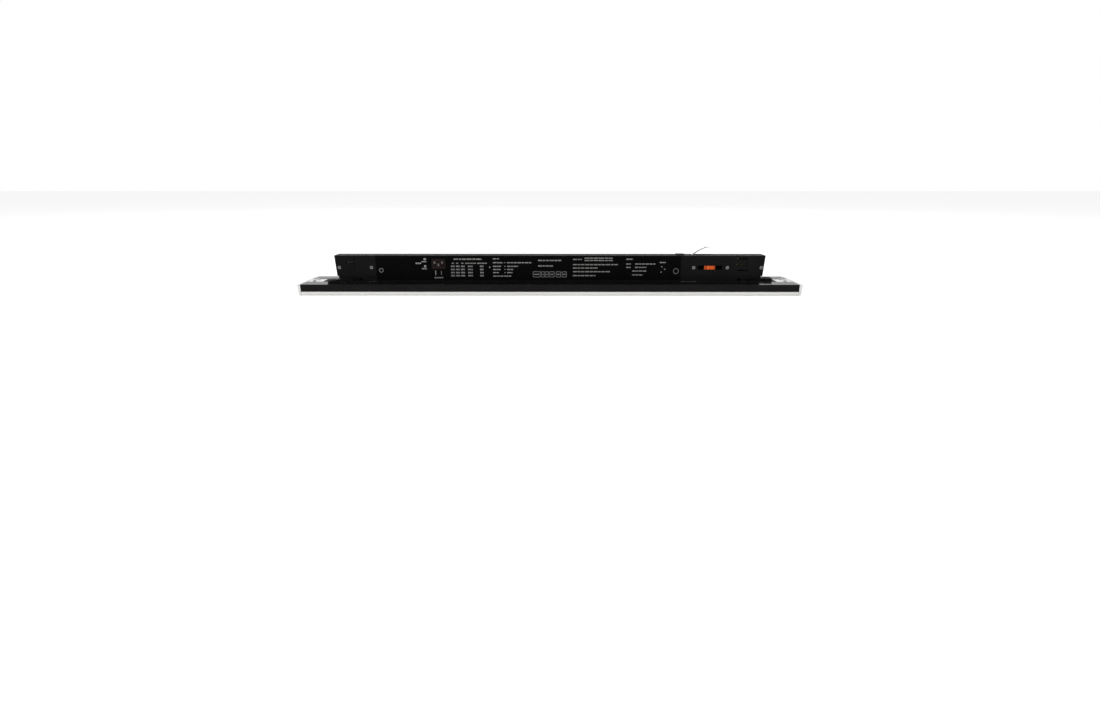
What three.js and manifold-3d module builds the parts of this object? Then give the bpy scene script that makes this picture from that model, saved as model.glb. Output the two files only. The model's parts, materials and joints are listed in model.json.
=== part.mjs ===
// Linear LED track luminaire: a slim aluminium light panel with an opal diffuser, carrying on its
// back a long in-track driver adapter with a latch head, a contact head, a circuit selector,
// a current selector switch and an earth spring.
//
// Millimetres. +X runs along the length, -Y is the labelled side, +Z points up to the track.
// The origin is under the middle of the diffuser, on its light-giving face.

import * as THREE from "three";
import { mergeVertices } from "three/addons/utils/BufferGeometryUtils.js";
import Module from "manifold-3d";

const wasm = await Module();
wasm.setup();

// ---------------------------------------------------------------- driving dimensions: panel

const panelLength = 600;
const panelWidth = 64;
const frameHeight = 8.5;
const diffuserDrop = 5;
const capThickness = 4;
const capDraft = 1.2;
const capRadius = 2.5;

const railWall = 1.8;
const flangeThickness = 1.5;
const screwPortSize = 5;
const screwPortInset = 5.5;
const grooveLipReach = 3;
const grooveLipThickness = 1.2;
const hookLedgeReach = 1.5;
const hookLedgeThickness = 1.2;
const hookLedgeDrop = 5.1;

const diffuserWall = 1.6;
const diffuserRadius = 2.4;
const diffuserHookHeight = 1.3;

const backPlateThickness = 1.2;
const basePlateThickness = 1.5;

const ledBoardWidth = 35;
const ledBoardThickness = 1.6;
const ledBoardEndGap = 5;
const ledBoardMiddleGap = 3;
const ledSize = 3;
const ledHeight = 0.7;
const ledPitch = 16;
const ledRowSpacing = 16;

// -------------------------------------------------------------- driving dimensions: adapter

const adapterLength = 520;
const adapterWidth = 19;
const adapterHeight = 31.5;
const latchHeadLength = 49;
const contactHeadLength = 101;
const headLift = 6.7;
const neckRecess = 0.9;
const headDraft = 1.6;
const headWall = 1.6;
const driverWall = 1.6;
const driverFloor = 1.7;
const labelThickness = 0.2;
const labelMargin = 1;

const pivotInset = 24;
const shaftRadius = 2.8;
const collarSize = 8.2;
const collarThickness = 1.5;
const leverReach = 36;
const leverHubRadius = 7;
const leverArmWidth = 9;
const leverPadWidth = 14;
const leverPadLength = 10;
const leverThickness = 3;
const leverLift = 0.5;
const latchLeverRestAngle = 30;

const lugReach = 12.2;
const lugWidth = 6;
const lugThickness = 1.2;
const lugHeight = 23;
const prongReach = 12.2;
const prongWidth = 4;
const prongThickness = 0.8;
const circuitHeight = 20.5;
const circuitPitch = 7;
const carriageHeight = 2.8;

const rivetHeight = 17;
const rivetRadius = 1.3;
const rivetHeadRadius = 2;
const rivetHeadThickness = 0.8;
const rivetBossRadius = 2.6;
const rivetEndInset = 5;

const selectorOffset = 35;
const selectorSlotLength = 29;
const selectorSlotHeight = 5;
const selectorKnobLength = 8;
const selectorPlateLength = 13;
const selectorPlateHeight = 9;
const selectorPlateThickness = 1.6;

const earthSpringOffset = 14;
const earthSpringReach = 17.5;
const earthSpringRise = 10;
const earthSpringWidth = 4;
const earthSpringThickness = 0.6;

const dipOffset = 76;
const dipWindowLength = 19.2;
const dipWindowHeight = 12.4;
const dipWindowCentre = 21.3;
const dipPitch = 4.6;
const dipActuatorLength = 2;
const dipActuatorHeight = 3;
const dipTravel = 2.6;

const seamClipLength = 9.6;
const seamClipThickness = 1.1;
const seamClipOffset = 0.5;

// ------------------------------------------------------------------------------ clearances

const slidingGap = 0.3;
const endPlay = 0.2;
const screwGap = 0.2;
const sweepGap = 0.6;
const channelGap = 1.3;
const slitGap = 0.3;

// ---------------------------------------------------------------------------- worked values

const half = 0.5;
const railLength = panelLength - 2 * capThickness;
const railEnd = railLength * half;
const sideY = panelWidth * half;
const frameBottom = diffuserDrop;
const panelTop = diffuserDrop + frameHeight;
const flangeBottom = panelTop - flangeThickness;

const portOuterY = sideY - screwPortInset;
const portInnerY = portOuterY - screwPortSize;
const portCentreY = (portOuterY + portInnerY) * half;
const backPlateTop = flangeBottom - slidingGap;
const backPlateBottom = backPlateTop - backPlateThickness;
const backPlateHalf = portInnerY - slidingGap;
const portBottom = flangeBottom - screwPortSize;
const portCentreZ = portBottom + screwPortSize * half;
const basePlateTop = backPlateTop + basePlateThickness;

const ledBoardBottom = backPlateBottom - ledBoardThickness;
const ledBoardLength = (railLength - 2 * ledBoardEndGap - ledBoardMiddleGap) * half;

const adapterEnd = adapterLength * half;
const adapterSide = adapterWidth * half;
const flangeInner = adapterSide + channelGap;
const basePlateHalf = flangeInner - slidingGap;
const neckBottom = leverLift + leverThickness + slidingGap;
const neckSide = adapterSide - neckRecess;
const driverLeft = -adapterEnd + latchHeadLength;
const driverRight = adapterEnd - contactHeadLength;
const dipCentre = driverLeft + dipOffset;
const driverBottom = basePlateTop - panelTop;
const driverFloorTop = driverBottom + driverFloor;
const driverInnerSide = adapterSide - driverWall;
const driverRoof = adapterHeight - driverWall;
const headRoof = adapterHeight - headWall;
const headFloorTop = headLift + headWall;
const headInnerSide = adapterSide - headWall;
const latchPivotX = -adapterEnd + pivotInset;
const contactPivotX = adapterEnd - pivotInset;
const collarBottom = headFloorTop + slidingGap;
const shaftTop = headRoof - slidingGap;

// --------------------------------------------------------------------------- small toolbox

/** Turns a closed three.js geometry into a manifold solid. */
function solid(geometry) {
  const bare = geometry.index ? geometry.toNonIndexed() : geometry.clone();
  bare.deleteAttribute("normal");
  bare.deleteAttribute("uv");
  const merged = mergeVertices(bare, 1e-4);
  return new wasm.Manifold(
    new wasm.Mesh({
      numProp: 3,
      vertProperties: new Float32Array(merged.attributes.position.array),
      triVerts: new Uint32Array(merged.index.array),
    }),
  );
}

/** Turns a manifold solid back into a three.js geometry. */
function geometryOf(body) {
  const mesh = body.getMesh();
  const geometry = new THREE.BufferGeometry();
  geometry.setAttribute("position", new THREE.BufferAttribute(mesh.vertProperties, 3));
  geometry.setIndex(new THREE.BufferAttribute(mesh.triVerts, 1));
  geometry.computeVertexNormals();
  return geometry;
}

/** A block between two opposite corners. */
function block([x0, x1], [y0, y1], [z0, z1]) {
  const geometry = new THREE.BoxGeometry(x1 - x0, y1 - y0, z1 - z0);
  geometry.translate((x0 + x1) * half, (y0 + y1) * half, (z0 + z1) * half);
  return solid(geometry);
}

/** A round bar about a line parallel to an axis, from one coordinate to another. */
function rod(axis, radius, centre, [from, to], sides = 20) {
  const geometry = new THREE.CylinderGeometry(radius, radius, to - from, sides);
  const middle = (from + to) * half;
  if (axis === "x") {
    geometry.rotateZ(-Math.PI * half);
    geometry.translate(middle, centre[0], centre[1]);
  } else if (axis === "y") {
    geometry.translate(centre[0], middle, centre[1]);
  } else {
    geometry.rotateX(Math.PI * half);
    geometry.translate(centre[0], centre[1], middle);
  }
  return solid(geometry);
}

const axisMatrices = {
  x: new THREE.Matrix4().set(0, 0, 1, 0, 1, 0, 0, 0, 0, 1, 0, 0, 0, 0, 0, 1),
  y: new THREE.Matrix4().set(1, 0, 0, 0, 0, 0, -1, 0, 0, 1, 0, 0, 0, 0, 0, 1),
  z: new THREE.Matrix4(),
};

/** A flat outline drawn in the plane across an axis, run from one coordinate to another. */
function prism(axis, shape, [from, to], curveSegments = 6) {
  const depth = to - from;
  const geometry = new THREE.ExtrudeGeometry(shape, { depth, bevelEnabled: false, curveSegments });
  geometry.translate(0, 0, axis === "y" ? -to : from);
  geometry.applyMatrix4(axisMatrices[axis]);
  return solid(geometry);
}

/** A rectangle with rounded corners, as an outline. */
function roundedOutline([u0, u1], [v0, v1], radius) {
  const shape = new THREE.Shape();
  shape.moveTo(u0 + radius, v0);
  shape.lineTo(u1 - radius, v0);
  shape.absarc(u1 - radius, v0 + radius, radius, -Math.PI * half, 0);
  shape.lineTo(u1, v1 - radius);
  shape.absarc(u1 - radius, v1 - radius, radius, 0, Math.PI * half);
  shape.lineTo(u0 + radius, v1);
  shape.absarc(u0 + radius, v1 - radius, radius, Math.PI * half, Math.PI);
  shape.lineTo(u0, v0 + radius);
  shape.absarc(u0 + radius, v0 + radius, radius, Math.PI, Math.PI * 1.5);
  return shape;
}

/** An outline through corner points. */
function outline(points) {
  return new THREE.Shape(points.map(([u, v]) => new THREE.Vector2(u, v)));
}

/** A wire that follows a curve through points, as one closed tube. */
function wire(points, radius, steps) {
  const path = new THREE.CatmullRomCurve3(points.map((p) => new THREE.Vector3(...p)));
  const section = new THREE.Shape();
  const sides = 6;
  for (let i = 0; i < sides; i += 1) {
    const angle = (2 * Math.PI * i) / sides;
    const corner = [radius * Math.cos(angle), radius * Math.sin(angle)];
    if (i === 0) section.moveTo(...corner);
    else section.lineTo(...corner);
  }
  section.closePath();
  return solid(new THREE.ExtrudeGeometry(section, { steps, extrudePath: path, bevelEnabled: false }));
}

const join = (...bodies) => bodies.reduce((sum, body) => sum.add(body));
const cut = (body, ...tools) => tools.reduce((rest, tool) => rest.subtract(tool), body);
const both = [-1, 1];

/** An interval on one side of the middle plane: side is -1 or 1, near and far count outwards. */
function span(side, near, far) {
  return side < 0 ? [-far, -near] : [near, far];
}

// --------------------------------------------------------------------------------- finishes

const finishes = {
  blackFrame: { color: 0x17181a, roughness: 0.42, metalness: 0.3 },
  blackHead: { color: 0x1d1f20, roughness: 0.55, metalness: 0 },
  blackDriver: { color: 0x121314, roughness: 0.45, metalness: 0 },
  label: { color: 0x0c0c0d, roughness: 0.35, metalness: 0 },
  opal: { color: 0xf4f2ee, roughness: 0.35, metalness: 0 },
  whiteCap: { color: 0xf1f1ef, roughness: 0.45, metalness: 0 },
  lightPlate: { color: 0xdededb, roughness: 0.4, metalness: 0.4 },
  whiteBoard: { color: 0xeeeeea, roughness: 0.5, metalness: 0 },
  greenBoard: { color: 0x1f5a35, roughness: 0.5, metalness: 0 },
  steel: { color: 0xb8b9ba, roughness: 0.32, metalness: 1 },
  brass: { color: 0xb98a3c, roughness: 0.3, metalness: 1 },
  orange: { color: 0xe8642a, roughness: 0.4, metalness: 0 },
  switchBody: { color: 0x4a1f20, roughness: 0.5, metalness: 0 },
  whiteSwitch: { color: 0xe9e8e4, roughness: 0.4, metalness: 0 },
  coil: { color: 0xc8a03a, roughness: 0.5, metalness: 0 },
  capacitor: { color: 0x23283a, roughness: 0.4, metalness: 0.2 },
  terminal: { color: 0x3f6f4a, roughness: 0.5, metalness: 0 },
  rubber: { color: 0x202020, roughness: 0.8, metalness: 0 },
  redWire: { color: 0xb02a25, roughness: 0.5, metalness: 0 },
  blackWire: { color: 0x1a1a1a, roughness: 0.5, metalness: 0 },
  brownWire: { color: 0x6a3d22, roughness: 0.5, metalness: 0 },
  blueWire: { color: 0x2b4f9c, roughness: 0.5, metalness: 0 },
};

const luminaire = new THREE.Group();
const panel = new THREE.Group();
const adapter = new THREE.Group();
adapter.position.z = panelTop;
luminaire.add(panel, adapter);

/** Adds one named piece to a group. */
function piece(group, name, body, finish) {
  const mesh = new THREE.Mesh(geometryOf(body), new THREE.MeshStandardMaterial(finishes[finish]));
  mesh.name = name;
  group.add(mesh);
  return mesh;
}

// --------------------------------------------------------------------------- shared fasteners

const screwHeadRadius = 2.2;
const screwHeadThickness = 1.4;
const screwShankRadius = 1.1;
const driveSlotWidth = 0.7;
const driveSlotDepth = 0.6;

/** A pan-head screw standing on z = 0 with its shank pointing down. */
function screw(shankLength) {
  const arm = screwHeadRadius * 0.6;
  const slotFloor = screwHeadThickness - driveSlotDepth;
  const slotTop = screwHeadThickness + driveSlotDepth;
  const across = driveSlotWidth * half;
  return cut(
    join(
      rod("z", screwHeadRadius, [0, 0], [0, screwHeadThickness], 16),
      rod("z", screwShankRadius, [0, 0], [-shankLength, screwHeadThickness * half], 10),
    ),
    block([-arm, arm], [-across, across], [slotFloor, slotTop]),
    block([-across, across], [-arm, arm], [slotFloor, slotTop]),
  );
}

// ------------------------------------------------------------------------------------- panel

const baseScrewInsetX = 8;
const baseScrewY = 6.5;
const baseScrewX = railEnd - baseScrewInsetX;
const driverScrewX = [driverLeft + 31, driverRight - 29];
const leadX = driverRight - 11;
const leadHoleRadius = 3;
const grommetRadius = 4;
const capScrewLength = 10;
const capScrewSink = 2;

const ledgeTop = panelTop - hookLedgeDrop;
const ledgeBottom = ledgeTop - hookLedgeThickness;
const ledgeInner = sideY - railWall - hookLedgeReach;
const diffuserSide = sideY - slidingGap;
const legOuter = ledgeInner - slidingGap;
const legInner = legOuter - diffuserWall;
const hookBottom = ledgeTop + slidingGap;

/** One side of the aluminium frame: outer wall, top flange, plate groove, screw port and ledge. */
function rail(side) {
  const x = [-railEnd, railEnd];
  const lipTop = backPlateBottom - slidingGap;
  return cut(
    join(
      block(x, span(side, sideY - railWall, sideY), [frameBottom, panelTop]),
      block(x, span(side, flangeInner, sideY), [flangeBottom, panelTop]),
      block(x, span(side, portInnerY, portOuterY), [portBottom, panelTop - flangeThickness * half]),
      block(x, span(side, portInnerY - grooveLipReach, portCentreY), [lipTop - grooveLipThickness, lipTop]),
      block(x, span(side, ledgeInner, sideY - railWall * half), [ledgeBottom, ledgeTop]),
    ),
    rod("x", screwShankRadius + screwGap, [side * portCentreY, portCentreZ], [-railEnd - 1, railEnd + 1], 8),
  );
}

/** The opal cover: flat face, rounded lower edges, stepped sides and snap hooks. */
function diffuser() {
  const x = [-railEnd + endPlay, railEnd - endPlay];
  const shoulderTop = frameBottom - slidingGap;
  const full = [-diffuserSide, diffuserSide];
  const sides = both.flatMap((side) => [
    block(x, span(side, diffuserSide - diffuserWall, diffuserSide), [0, shoulderTop]),
    block(x, span(side, legInner, diffuserSide), [shoulderTop - diffuserWall, shoulderTop]),
    block(x, span(side, legInner, legOuter), [shoulderTop - diffuserWall, hookBottom + diffuserHookHeight]),
    block(
      x,
      span(side, legInner, sideY - railWall - slidingGap),
      [hookBottom, hookBottom + diffuserHookHeight],
    ),
  ]);
  const body = join(block(x, full, [0, diffuserWall]), ...sides);
  const envelope = roundedOutline(full, [0, panelTop + diffuserRadius], diffuserRadius);
  return body.intersect(prism("x", envelope, x));
}

/** An end cap, drawn for the +X end. */
function endCap() {
  const inner = railEnd;
  const outer = panelLength * half;
  const profile = new THREE.Shape();
  profile.moveTo(inner, 0);
  profile.lineTo(outer - capDraft - capRadius, 0);
  profile.quadraticCurveTo(outer - capDraft, 0, outer - capDraft, capRadius);
  profile.lineTo(outer, panelTop);
  profile.lineTo(inner, panelTop);
  const plan = roundedOutline([inner - 2 * capRadius, outer], [-sideY, sideY], capRadius * half);
  const plate = prism("y", profile, [-sideY, sideY]).intersect(prism("z", plan, [0, panelTop]));
  const tabTop = ledBoardBottom - ledHeight - slidingGap;
  const tabHalf = portInnerY - slidingGap;
  const tab = block([inner - capThickness, inner + 1], [-tabHalf, tabHalf], [diffuserWall + slidingGap, tabTop]);
  const holes = both.flatMap((side) => {
    const centre = [side * portCentreY, portCentreZ];
    return [
      rod("x", screwShankRadius + screwGap, centre, [inner - 1, outer + 1], 10),
      rod("x", screwHeadRadius + screwGap, centre, [outer - capScrewSink, outer + 1], 16),
    ];
  });
  return cut(join(plate, tab), ...holes);
}

/** Round holes down through the plates under the adapter. */
function plateHoles(leadRadius) {
  const z = [0, panelTop + 1];
  const holeRadius = screwShankRadius + screwGap;
  const corners = both.flatMap((sx) =>
    both.map((sy) => rod("z", holeRadius, [sx * baseScrewX, sy * baseScrewY], z, 10)),
  );
  const middles = driverScrewX.map((x) => rod("z", holeRadius, [x, 0], z, 10));
  return [...corners, ...middles, rod("z", leadRadius, [leadX, 0], z, 16)];
}

/** An LED board with two rows of chips below it, from its inner end to its outer end. */
function ledBoard(side) {
  const inner = ledBoardMiddleGap * half;
  const x = span(side, inner, inner + ledBoardLength);
  const y = [-ledBoardWidth * half, ledBoardWidth * half];
  const chips = [];
  const count = Math.floor((ledBoardLength - ledSize) / ledPitch) + 1;
  const first = inner + (ledBoardLength - (count - 1) * ledPitch) * half;
  for (let i = 0; i < count; i += 1) {
    for (const row of both) {
      const cx = side * (first + i * ledPitch);
      const cy = row * ledRowSpacing * half;
      chips.push(
        block(
          [cx - ledSize * half, cx + ledSize * half],
          [cy - ledSize * half, cy + ledSize * half],
          [ledBoardBottom - ledHeight, ledBoardBottom + ledHeight],
        ),
      );
    }
  }
  const board = join(block(x, y, [ledBoardBottom, backPlateBottom]), ...chips);
  if (leadX * side < 0) return board;
  return cut(board, rod("z", leadHoleRadius, [leadX, 0], [0, panelTop], 16));
}

piece(panel, "diffuser", diffuser(), "opal");
piece(panel, "front_rail", rail(-1), "blackFrame");
piece(panel, "rear_rail", rail(1), "blackFrame");
piece(
  panel,
  "back_plate",
  cut(
    block(
      [-railEnd + endPlay, railEnd - endPlay],
      [-backPlateHalf, backPlateHalf],
      [backPlateBottom, backPlateTop],
    ),
    ...plateHoles(leadHoleRadius),
  ),
  "lightPlate",
);
piece(
  panel,
  "base_plate",
  cut(
    block(
      [-railEnd + endPlay, railEnd - endPlay],
      [-basePlateHalf, basePlateHalf],
      [backPlateTop, basePlateTop],
    ),
    ...plateHoles(grommetRadius + screwGap),
  ),
  "lightPlate",
);
piece(panel, "led_board_left", ledBoard(-1), "whiteBoard");
piece(panel, "led_board_right", ledBoard(1), "whiteBoard");

for (const [name, turn] of [["right", 0], ["left", Math.PI]]) {
  const end = new THREE.Group();
  end.rotation.z = turn;
  panel.add(end);
  piece(end, `end_cap_${name}`, endCap(), "whiteCap");
  for (const [index, side] of both.entries()) {
    const fastener = piece(end, `end_cap_screw_${name}_${index + 1}`, screw(capScrewLength), "steel");
    fastener.rotation.y = Math.PI * half;
    fastener.position.set(panelLength * half - capScrewSink, side * portCentreY, portCentreZ);
  }
}

for (const sx of both) {
  for (const sy of both) {
    const number = 1 + (sx + 1) + (sy + 1) * half;
    const shank = basePlateTop - backPlateBottom - slidingGap;
    const fastener = piece(panel, `base_screw_${number}`, screw(shank), "steel");
    fastener.position.set(sx * baseScrewX, sy * baseScrewY, basePlateTop);
  }
}

// ------------------------------------------------------------------------------------ driver

const tabHalfThickness = 1.5;
const tabReach = 10;
const tabHalfHeight = 4.4;
const inletHoleSize = 3;
const inletHoleY = 3.4;
const inletHoleHeight = 11;
const endWallSide = driverInnerSide - slidingGap;
const endWallTop = driverRoof - slidingGap;
const boardThickness = 1.6;
const boardBottom = 5.5;
const boardTop = boardBottom + boardThickness;
const boardSide = driverInnerSide - 0.8;
const boardEndGap = 3;
const postCount = 4;
const postInset = 20;
const postSize = 4;
const rivetInsetDriver = 15.3;

const leftEndRivetX = -adapterEnd + rivetEndInset;
const leftTabRivetX = driverLeft - 5;
const rightTabRivetX = driverRight + rivetInsetDriver;
const rightMiddleRivetX = driverRight + 56;
const rightEndRivetX = adapterEnd - 4;

const rivetHole = (x) => rod("y", rivetRadius + screwGap, [x, rivetHeight], [-adapterSide - 1, adapterSide + 1], 12);

/** The driver's lower tray: floor, end walls, board posts and the tabs that the heads rivet to. */
function driverBase() {
  const tabZ = [rivetHeight - tabHalfHeight, rivetHeight + tabHalfHeight];
  const tabY = [-tabHalfThickness, tabHalfThickness];
  const wallZ = [driverBottom, endWallTop];
  const wallY = [-endWallSide, endWallSide];
  const posts = [];
  const firstPost = driverLeft + postInset;
  const postPitch = (driverRight - driverLeft - 2 * postInset - postSize) / (postCount - 1);
  for (let i = 0; i < postCount; i += 1) {
    for (const side of both) {
      const x = firstPost + i * postPitch;
      posts.push(block([x, x + postSize], span(side, boardSide - postSize, boardSide), [driverBottom, boardBottom]));
    }
  }
  const body = join(
    block([driverLeft, driverRight], [-adapterSide, adapterSide], [driverBottom, driverFloorTop]),
    block([driverLeft, driverLeft + driverWall], wallY, wallZ),
    block([driverRight - driverWall, driverRight], wallY, wallZ),
    block([driverLeft - tabReach, driverLeft + driverWall], tabY, tabZ),
    block([driverRight - driverWall, rightTabRivetX + tabReach * half], tabY, tabZ),
    ...posts,
  );
  const inlets = both.map((side) =>
    block(
      [driverRight - 2 * driverWall, driverRight + driverWall],
      [side * inletHoleY - inletHoleSize * half, side * inletHoleY + inletHoleSize * half],
      [inletHoleHeight - inletHoleSize * half, inletHoleHeight + inletHoleSize * half],
    ),
  );
  const floorHoles = [
    ...driverScrewX.map((x) => rod("z", screwShankRadius + screwGap, [x, 0], [driverBottom - 1, boardBottom], 10)),
    rod("z", grommetRadius + screwGap, [leadX, 0], [driverBottom - 1, boardBottom], 16),
  ];
  return cut(body, rivetHole(leftTabRivetX), rivetHole(rightTabRivetX), ...inlets, ...floorHoles);
}

/** The opening through which the current selector switch is reached. */
function dipWindow(grow) {
  const reachX = dipWindowLength * half + grow;
  const reachZ = dipWindowHeight * half + grow;
  const shape = roundedOutline(
    [dipCentre - reachX, dipCentre + reachX],
    [dipWindowCentre - reachZ, dipWindowCentre + reachZ],
    1.5,
  );
  return prism("y", shape, [-adapterSide - 1, -driverInnerSide + 1]);
}

/** The driver's cover: an inverted channel over the tray. */
function driverCover() {
  const x = [driverLeft, driverRight];
  return cut(
    join(
      block(x, [-adapterSide, adapterSide], [driverRoof, adapterHeight]),
      block(x, [-adapterSide, -driverInnerSide], [driverFloorTop, adapterHeight]),
      block(x, [driverInnerSide, adapterSide], [driverFloorTop, adapterHeight]),
    ),
    dipWindow(0),
  );
}

function driverLabel() {
  const shape = roundedOutline(
    [driverLeft + labelMargin, driverRight - labelMargin],
    [driverFloorTop + labelMargin, adapterHeight - labelMargin],
    labelMargin,
  );
  return cut(prism("y", shape, [-adapterSide - labelThickness, -adapterSide]), dipWindow(slidingGap));
}

piece(adapter, "driver_base", driverBase(), "blackDriver");
piece(adapter, "driver_cover", driverCover(), "blackDriver");
piece(adapter, "driver_label", driverLabel(), "label");
piece(
  adapter,
  "driver_board",
  cut(
    block(
      [driverLeft + boardEndGap, driverRight - boardEndGap],
      [-boardSide, boardSide],
      [boardBottom, boardTop],
    ),
    rod("z", leadHoleRadius, [leadX, 0], [boardBottom - 1, boardTop + 1], 16),
  ),
  "greenBoard",
);

for (const [index, x] of driverScrewX.entries()) {
  const shank = driverFloorTop - driverBottom + basePlateTop - backPlateBottom - slidingGap;
  const fastener = piece(adapter, `driver_screw_${index + 1}`, screw(shank), "steel");
  fastener.position.set(x, 0, driverFloorTop);
}

const seamMiddle = driverRight - seamClipOffset;
piece(
  adapter,
  "seam_clip",
  block(
    [seamMiddle - seamClipLength * half, seamMiddle + seamClipLength * half],
    [-adapterSide * half, adapterSide * half],
    [adapterHeight, adapterHeight + seamClipThickness],
  ),
  "blackHead",
);

// Components on the driver board.

/** A transformer: ferrite core with a wound bobbin between its legs. */
function transformer(x) {
  const length = 26;
  const width = 14.4;
  const height = 17;
  const leg = 5;
  const wound = join(
    block([x - length * half, x + length * half], [-width * half, width * half], [boardTop, boardTop + leg]),
    block([x - length * half, x + length * half], [-width * half, width * half], [boardTop + height - leg, boardTop + height]),
    block([x - length * half, x - length * half + leg], [-width * half, width * half], [boardTop, boardTop + height]),
    block([x + length * half - leg, x + length * half], [-width * half, width * half], [boardTop, boardTop + height]),
    rod("z", leg * half + 3.4, [x, 0], [boardTop + 1, boardTop + height - 1], 20),
  );
  return wound;
}

/** A ring choke standing on the board. */
function ringChoke(x) {
  const outer = 9;
  const inner = 3.6;
  const width = 9;
  const centre = [x, boardTop + outer];
  const y = [-width * half, width * half];
  const foot = block([x - inner, x + inner], y, [boardTop, boardTop + outer - inner - 1]);
  return join(cut(rod("y", outer, centre, y, 24), rod("y", inner, centre, [y[0] - 1, y[1] + 1], 16)), foot);
}

piece(adapter, "transformer", transformer(driverRight - 120), "coil");
piece(adapter, "ring_choke", ringChoke(driverRight - 62), "capacitor");
const inputCapacitorX = driverRight - 90;
const outputCapacitorX = driverRight - 205;
const capacitorRadius = 6.4;
for (const [name, x] of [["input_capacitor", inputCapacitorX], ["output_capacitor", outputCapacitorX]]) {
  const height = 20;
  piece(adapter, name, rod("z", capacitorRadius, [x, 0], [boardTop, boardTop + height], 24), "capacitor");
}

// Current selector switch: a body with one slot for each actuator, facing the label.

const dipBodyLength = dipWindowLength - 2;
const dipBodyFront = driverInnerSide - slidingGap;
const dipBodyDepth = 6;
const dipSlotDepth = 2.2;
const dipSlotLow = dipWindowCentre - (dipActuatorHeight + dipTravel) * half - slidingGap;
const dipSlotHigh = dipWindowCentre + (dipActuatorHeight + dipTravel) * half + slidingGap;
const dipPositions = [-1, 0, 1];

function dipBody() {
  const bodyTop = dipWindowCentre + dipWindowHeight * half - slidingGap;
  const slots = dipPositions.map((place) => {
    const x = dipCentre + place * dipPitch;
    const reach = dipActuatorLength * half + slidingGap;
    const y = [-dipBodyFront - 1, -dipBodyFront + dipSlotDepth];
    return block([x - reach, x + reach], y, [dipSlotLow, dipSlotHigh]);
  });
  return cut(
    block(
      [dipCentre - dipBodyLength * half, dipCentre + dipBodyLength * half],
      [-dipBodyFront, -dipBodyFront + dipBodyDepth],
      [boardTop, bodyTop],
    ),
    ...slots,
  );
}

/** One actuator, resting at the low or high end of its slot. */
function dipActuator(place, high) {
  const x = dipCentre + place * dipPitch;
  const low = dipWindowCentre - (dipActuatorHeight + dipTravel) * half + (high ? dipTravel : 0);
  return block(
    [x - dipActuatorLength * half, x + dipActuatorLength * half],
    [-dipBodyFront - 1, -dipBodyFront + dipSlotDepth - slidingGap],
    [low, low + dipActuatorHeight],
  );
}

piece(adapter, "dip_switch_body", dipBody(), "switchBody");
for (const [index, place] of dipPositions.entries()) {
  piece(adapter, `dip_actuator_${index + 1}`, dipActuator(place, index % 2 === 0), "whiteSwitch");
}

// Output leads: from a terminal block on the driver board, down through the grommet to the LEDs.

const leadRadius = 0.9;
const leadSpacing = 2.4;
const terminalLength = 9;
const terminalX = leadX - leadHoleRadius - 1 - terminalLength * half;
const terminalHeight = 8;
const ledBoardUnder = ledBoardBottom - panelTop;

piece(
  adapter,
  "output_terminal",
  block(
    [terminalX - terminalLength * half, terminalX + terminalLength * half],
    [-6, 6],
    [boardTop, boardTop + terminalHeight],
  ),
  "terminal",
);

const grommetFlange = 0.8;
const grommetInner = leadSpacing * half + leadRadius + slidingGap;
piece(
  adapter,
  "grommet",
  cut(
    join(
      rod("z", grommetRadius, [leadX, 0], [backPlateTop - panelTop, driverFloorTop + half * grommetFlange], 20),
      rod("z", grommetRadius + 1, [leadX, 0], [driverFloorTop, driverFloorTop + grommetFlange], 20),
    ),
    rod("z", grommetInner, [leadX, 0], [backPlateTop - panelTop - 1, driverFloorTop + 2], 16),
  ),
  "rubber",
);

for (const [name, side, finish] of [["positive", 1, "redWire"], ["negative", -1, "blackWire"]]) {
  const y = side * leadSpacing * half;
  const startZ = boardTop + terminalHeight * half;
  const lowZ = ledBoardUnder - leadRadius - slidingGap;
  const points = [
    [terminalX + terminalLength * half + slidingGap, y, startZ],
    [leadX - 0.6, y, startZ - 0.6],
    [leadX, y, boardTop - 1],
    [leadX, y, ledBoardUnder + 1.4],
    [leadX, y * 1.5, ledBoardUnder - 0.6],
    [leadX, side * (leadHoleRadius + 2.5), lowZ],
  ];
  piece(adapter, `output_lead_${name}`, wire(points, leadRadius, 18), finish);
}

// ------------------------------------------------------------------------------------- heads

const windowRecess = 0.8;
const latchWindow = { offset: [-1.3, 7.2], height: [12.4, 29] };
const contactWindow = { offset: [-3.6, 3.6], height: [11.2, 29] };
const slitHeight = prongThickness + 2 * slitGap;
const lugSlitHeight = lugThickness + 2 * slitGap;
const guideThickness = 1.2;
const guideReach = 2.2;
const springSlotGap = 0.6;
const springRootX = driverRight + earthSpringOffset;
const circuitLevels = [-1, 0, 1].map((level) => circuitHeight + level * circuitPitch);
const selectorX = driverRight + selectorOffset;

/** How far from the pivot a swinging arm first reaches the inside of the side wall. */
function swingEntry(reach, width) {
  const halfWidth = width * half;
  const corner = Math.hypot(reach, halfWidth);
  return Math.sqrt(corner * corner - headInnerSide * headInnerSide) + sweepGap;
}

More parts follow.
